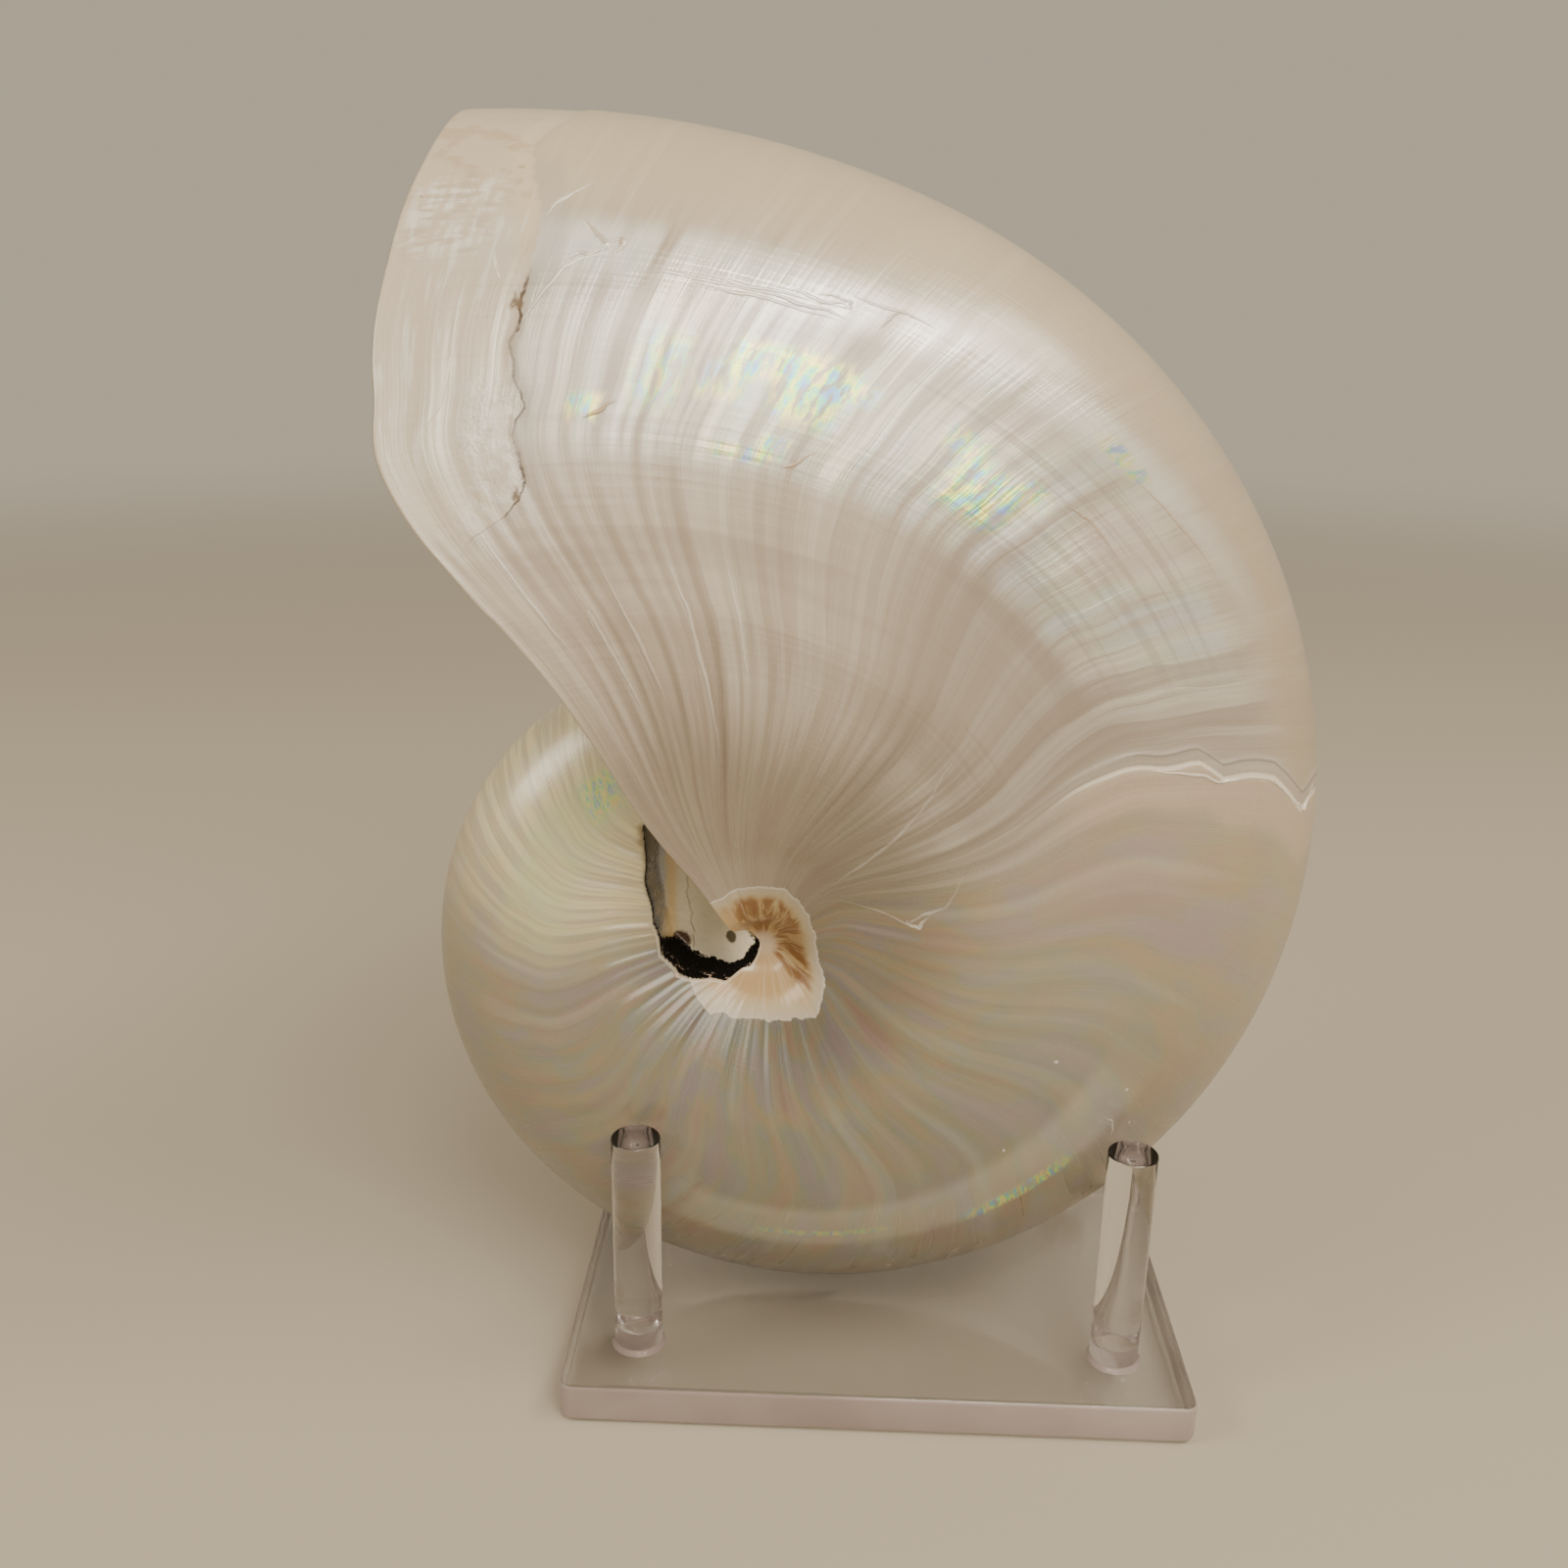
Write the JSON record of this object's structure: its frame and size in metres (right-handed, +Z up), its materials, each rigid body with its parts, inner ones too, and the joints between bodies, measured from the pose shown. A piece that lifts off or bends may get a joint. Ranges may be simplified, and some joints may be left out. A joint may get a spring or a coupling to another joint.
{
  "type": "nautilus shell on a display stand",
  "caption": "Polished pearl nautilus shell with an open body chamber, resting upright between round pegs on a clear acrylic base plate.",
  "frame": {"origin": "on the table, under the middle of the base plate", "axes": "+Z up, +X to the right seen from the front, where the shell's mouth faces -X, +Y away from the viewer"},
  "size_m": [0.145, 0.0923, 0.1995],
  "materials": {
    "nacre": "polished mother of pearl",
    "acrylic": "clear polished acrylic"
  },
  "bodies": {
    "root": {"nautilus_shell": "nacre", "stand_base": "acrylic", "peg_front_left": "acrylic", "peg_front_right": "acrylic", "peg_rear_left": "acrylic", "peg_rear_right": "acrylic"}
  },
  "joints": []
}
